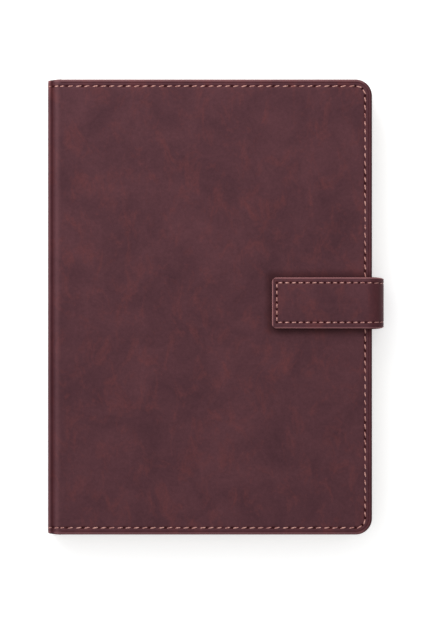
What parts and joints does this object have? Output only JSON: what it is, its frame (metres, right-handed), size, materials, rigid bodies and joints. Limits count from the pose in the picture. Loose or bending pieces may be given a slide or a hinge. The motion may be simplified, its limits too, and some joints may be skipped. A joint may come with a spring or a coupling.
{
  "type": "dotted notebook",
  "caption": "Closed A5 dotted notebook with stitched leatherette covers, sewn page sections and a magnetic strap that comes round the fore edge onto the front cover.",
  "frame": {"origin": "middle of the back cover's outer face", "axes": "+X from the spine to the fore edge, +Y to the head, +Z from the back cover to the front cover"},
  "size_m": [0.1554, 0.2106, 0.0203],
  "materials": {
    "leatherette": "satin, mottled",
    "lining": "matte",
    "thread": "twisted polyester",
    "greyboard": "matte",
    "paper": "uncoated ivory, dot grid",
    "gauze": "open weave",
    "band_cloth": "striped",
    "steel": "plain"
  },
  "bodies": {
    "book": {"back_cover_leather": "leatherette", "back_cover_board": "greyboard", "back_cover_lining": "lining", "back_cover_thread": "thread", "spine_leather": "leatherette", "spine_stiffener": "greyboard", "spine_gauze": "gauze", "head_band": "band_cloth", "tail_band": "band_cloth", "back_endpaper": "paper", "page_section_01": "paper", "page_section_02": "paper", "page_section_03": "paper", "page_section_04": "paper", "page_section_05": "paper", "page_section_06": "paper", "page_section_07": "paper", "page_section_08": "paper", "page_section_09": "paper", "page_section_10": "paper", "strap_root": "leatherette", "front_hinge_leather": "leatherette"},
    "front_cover": {"front_cover_leather": "leatherette", "front_cover_board": "greyboard", "front_cover_lining": "lining", "front_cover_thread": "thread", "keeper_plate": "steel"},
    "front_flyleaf": {"front_flyleaf": "paper"},
    "first_leaf": {"first_leaf": "paper"},
    "strap_side": {"strap_side_leather": "leatherette", "strap_side_lining": "leatherette", "strap_back_bend": "leatherette"},
    "strap_tab": {"strap_tab_leather": "leatherette", "strap_tab_lining": "leatherette", "strap_magnet": "steel", "strap_thread": "thread", "strap_front_bend": "leatherette"}
  },
  "joints": [
    {"name": "cover_hinge", "type": "hinge", "parent": "book", "child": "front_cover", "pos_m": [-0.0717, 0, 0.01417], "axis": [0, -1, 0], "range_deg": [0, 178], "deforming": ["front_hinge_leather"]},
    {"name": "flyleaf_turn", "type": "hinge", "parent": "book", "child": "front_flyleaf", "pos_m": [-0.0717, 0, 0.01417], "axis": [0, -1, 0], "range_deg": [0, 175]},
    {"name": "first_leaf_turn", "type": "hinge", "parent": "book", "child": "first_leaf", "pos_m": [-0.0717, 0, 0.01417], "axis": [0, -1, 0], "range_deg": [0, 170.5]},
    {"name": "strap_side_bend", "type": "hinge", "parent": "book", "child": "strap_side", "pos_m": [0.0784, 0.002, 0.0025], "axis": [0, 1, 0], "range_deg": [0, 90], "deforming": ["strap_back_bend"]},
    {"name": "strap_tab_bend", "type": "hinge", "parent": "strap_side", "child": "strap_tab", "pos_m": [0.07777, 0.002, 0.01764], "axis": [0, 1, 0], "range_deg": [0, 90], "deforming": ["strap_front_bend"]}
  ],
  "couplings": [
    {"joint": "flyleaf_turn", "follows": "cover_hinge", "ratio": 0.98},
    {"joint": "first_leaf_turn", "follows": "cover_hinge", "ratio": 0.955}
  ]
}
